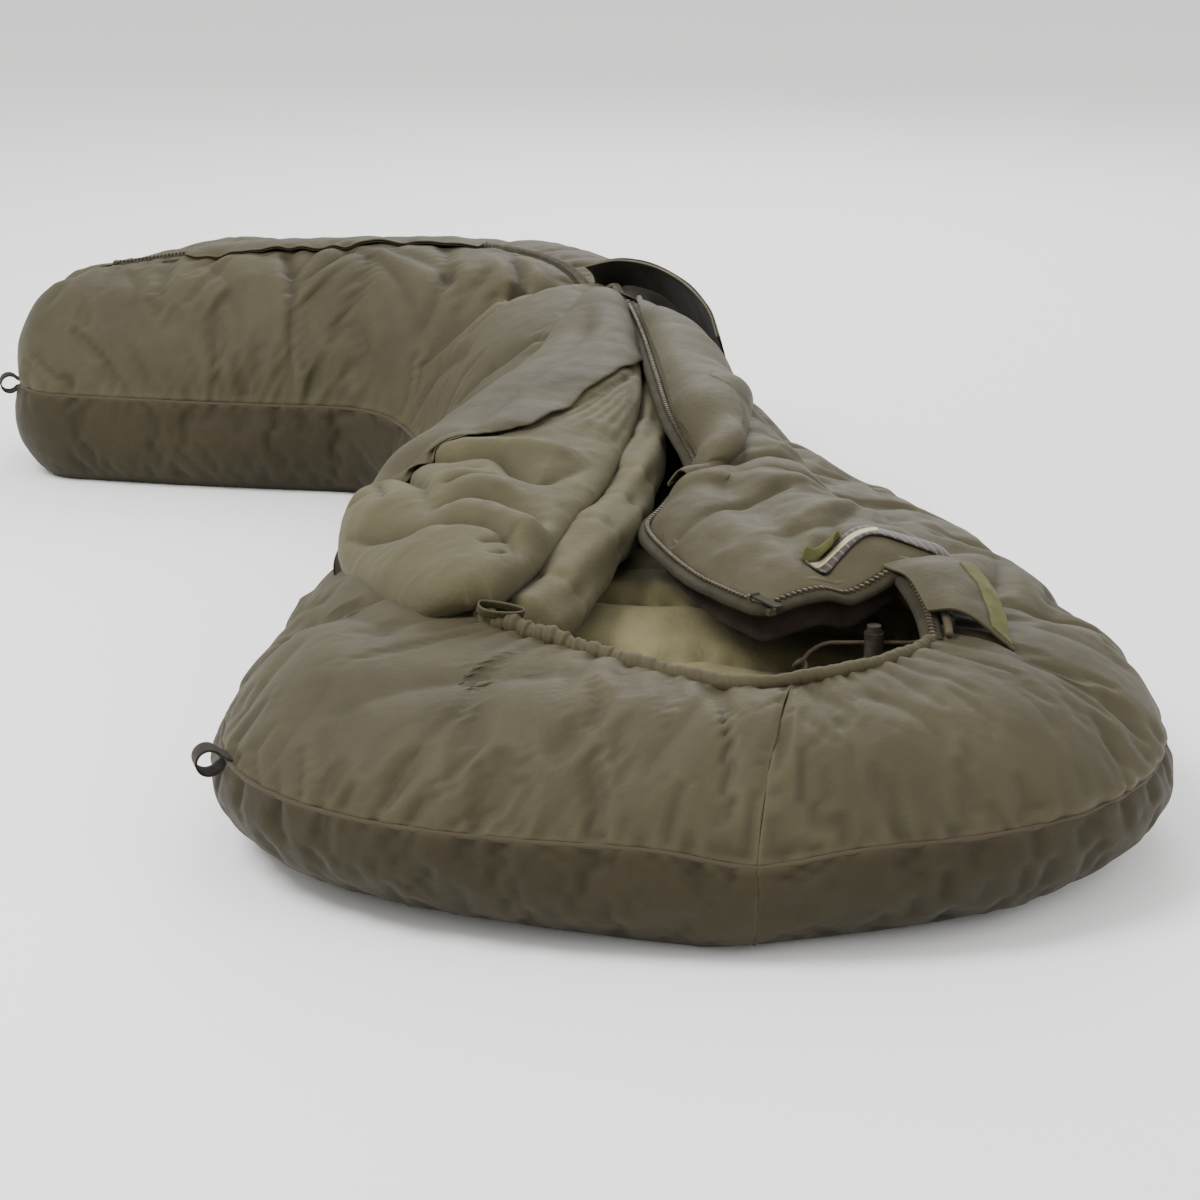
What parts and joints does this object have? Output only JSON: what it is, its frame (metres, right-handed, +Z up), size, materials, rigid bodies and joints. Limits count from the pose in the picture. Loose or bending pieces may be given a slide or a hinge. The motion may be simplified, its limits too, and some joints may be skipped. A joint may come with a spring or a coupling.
{
  "type": "insulated bivy sack",
  "caption": "Insulated mummy-shaped sleeping sack lying open, with a hood and drawcord, a centre zip between two folding front flaps, and legs turned aside.",
  "frame": {"origin": "on the ground, under the middle of the trunk, on the flat underside of the base shell", "axes": "+Z up, -Y towards the crown of the hood, -X towards the foot end of the turned legs"},
  "size_m": [1.2033, 1.6996, 0.2815],
  "materials": {
    "shell_fabric": "olive-taupe woven shell, soft low sheen",
    "liner_fabric": "lighter olive woven liner, low sheen",
    "insulation": "white lofted synthetic fill",
    "zip_tape": "dark olive-brown knitted tape",
    "dark_tape": "near-black woven tape",
    "zip_plastic": "moulded olive plastic teeth and sliders",
    "cord": "braided olive cord and tape",
    "webbing": "dark olive woven webbing",
    "ribbon": "dark woven ribbon with pale diagonal stripes",
    "hook_fabric": "light olive hook-and-loop patch",
    "lock_plastic": "dark olive moulded plastic",
    "spring_steel": "bright spring wire"
  },
  "bodies": {
    "bag": {"base_shell": "shell_fabric", "base_insulation": "insulation", "base_liner": "liner_fabric", "upper_shell_left": "shell_fabric", "upper_shell_right": "shell_fabric", "upper_insulation_left": "insulation", "upper_insulation_right": "insulation", "upper_liner_left": "liner_fabric", "upper_liner_right": "liner_fabric", "side_seam_piping": "shell_fabric", "hood_hem": "shell_fabric", "hood_drawcord": "cord", "drawcord_loop": "cord", "draft_tube": "liner_fabric", "trunk_zip_tape": "zip_tape", "trunk_zip_teeth": "zip_plastic", "shoulder_loop": "webbing"},
    "left_front": {"left_flap_shell": "shell_fabric", "left_flap_insulation": "insulation", "left_flap_liner": "liner_fabric", "left_zip_tape": "zip_tape", "left_zip_teeth": "zip_plastic"},
    "right_front": {"right_flap_shell": "shell_fabric", "right_flap_insulation": "insulation", "right_flap_liner": "liner_fabric", "right_zip_tape": "zip_tape", "right_zip_teeth": "zip_plastic", "zip_guard_tape": "dark_tape", "zip_top_stop": "zip_plastic", "storm_flap": "shell_fabric", "woven_ribbon": "ribbon"},
    "neck_closure": {"neck_tab": "shell_fabric", "hook_patch": "hook_fabric"},
    "top_slider": {"upper_slider": "zip_plastic"},
    "top_pull": {"upper_pull_tab": "cord"},
    "cord_lock": {"cord_lock_barrel": "lock_plastic", "cord_lock_spring": "spring_steel"},
    "cord_button": {"cord_lock_plunger": "lock_plastic"},
    "legs": {"leg_upper_shell_near": "shell_fabric", "leg_upper_shell_far": "shell_fabric", "leg_base_shell": "shell_fabric", "leg_upper_insulation": "insulation", "leg_base_insulation": "insulation", "leg_liner": "liner_fabric", "leg_seam_piping": "shell_fabric", "leg_zip_tape": "zip_tape", "leg_zip_teeth": "zip_plastic", "zip_bottom_stop": "zip_plastic", "foot_loop": "webbing"},
    "zip_cover": {"leg_storm_flap": "shell_fabric"},
    "bottom_slider": {"lower_slider": "zip_plastic"},
    "bottom_pull": {"lower_pull_tab": "cord"}
  },
  "joints": [
    {"name": "left_front_fold", "type": "hinge", "parent": "bag", "child": "left_front", "pos_m": [-0.0959, -0.5868, 0.184], "axis": [0.1489, 0.9854, 0.0821], "range_deg": [0, 90]},
    {"name": "right_front_fold", "type": "hinge", "parent": "bag", "child": "right_front", "pos_m": [0.2848, -0.5951, 0.1832], "axis": [-0.2415, 0.9675, 0.0752], "range_deg": [0, 80]},
    {"name": "neck_tab_fold", "type": "hinge", "parent": "right_front", "child": "neck_closure", "pos_m": [0.236, -0.574, 0.214], "axis": [-0.9511, -0.309, 0], "range_deg": [0, 100]},
    {"name": "top_slider_run", "type": "slide", "parent": "right_front", "child": "top_slider", "axis": [-0.549, 0.8355, 0.0239], "range_m": [0, 0.04]},
    {"name": "top_pull_swing", "type": "hinge", "parent": "top_slider", "child": "top_pull", "pos_m": [0.12756, -0.58859, 0.1952], "axis": [-0.8357, -0.5492, 0], "range_deg": [0, 120]},
    {"name": "cord_lock_run", "type": "slide", "parent": "bag", "child": "cord_lock", "axis": [-1, 0, 0], "range_m": [0, 0.03]},
    {"name": "cord_button_press", "type": "slide", "parent": "cord_lock", "child": "cord_button", "axis": [0, 0, -1], "range_m": [0, 0.005], "stiffness_N_per_m": 400, "springref_m": -0.002, "deforming": ["cord_lock_spring"]},
    {"name": "legs_turn", "type": "hinge", "parent": "bag", "child": "legs", "pos_m": [-0.045, 0.56, 0], "axis": [0, 0, 1], "range_deg": [-25, 12]},
    {"name": "zip_cover_fold", "type": "hinge", "parent": "legs", "child": "zip_cover", "pos_m": [-0.16017, 0.60383, 0.279], "axis": [-0.998, 0.0614, -0.0117], "range_deg": [0, 100]},
    {"name": "bottom_slider_run", "type": "slide", "parent": "bag", "child": "bottom_slider", "axis": [0.1683, -0.9812, -0.0946], "range_m": [0, 0.03]},
    {"name": "bottom_pull_swing", "type": "hinge", "parent": "bottom_slider", "child": "bottom_pull", "pos_m": [0.03361, 0.24643, 0.26139], "axis": [-0.9856, -0.169, 0], "range_deg": [0, 120]}
  ]
}
